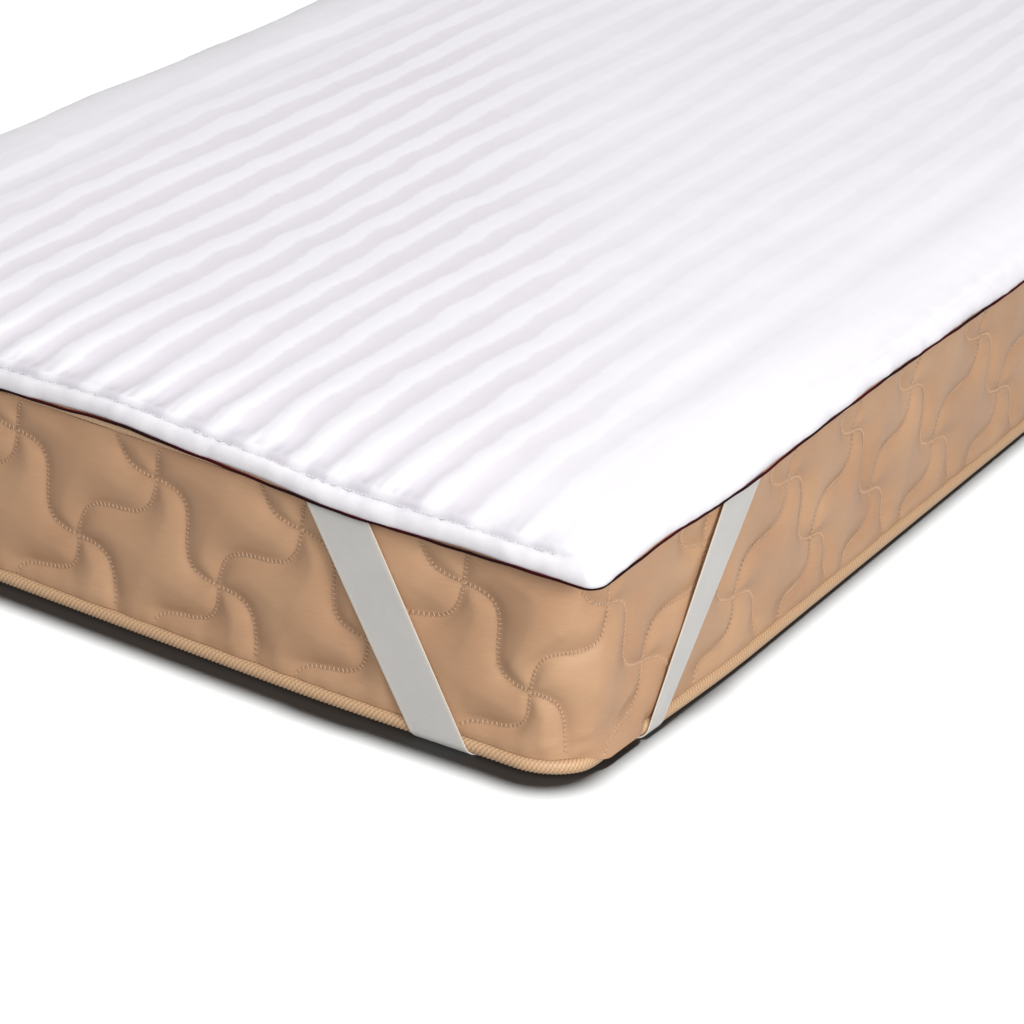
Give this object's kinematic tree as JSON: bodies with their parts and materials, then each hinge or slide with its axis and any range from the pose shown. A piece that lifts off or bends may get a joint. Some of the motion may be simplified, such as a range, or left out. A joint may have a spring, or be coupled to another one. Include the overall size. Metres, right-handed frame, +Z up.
{
  "type": "mattress topper on a mattress",
  "caption": "Padded mattress topper with a crowned striped top, a rounded side band and piped edge, held on a plain single mattress by an elastic strap under each corner.",
  "frame": {"origin": "on the floor under the middle of the mattress", "axes": "+X across the bed, +Y along the bed from its foot to its head, +Z up"},
  "size_m": [0.9044, 2.0044, 0.2207],
  "materials": {
    "topper_fabric": "white cotton satin with self-coloured stripes along the bed",
    "piping": "dark maroon cotton cord",
    "strap_elastic": "pale grey ribbed elastic webbing",
    "mattress_fabric": "tan satin, quilted in wavy diamonds",
    "mattress_tape": "light tan roped binding tape"
  },
  "bodies": {
    "root": {"topper_pad": "topper_fabric", "topper_piping": "piping", "strap_foot_right": "strap_elastic", "strap_foot_left": "strap_elastic", "strap_head_right": "strap_elastic", "strap_head_left": "strap_elastic", "mattress": "mattress_fabric", "mattress_tape_bottom": "mattress_tape", "mattress_tape_top": "mattress_tape"}
  },
  "joints": []
}
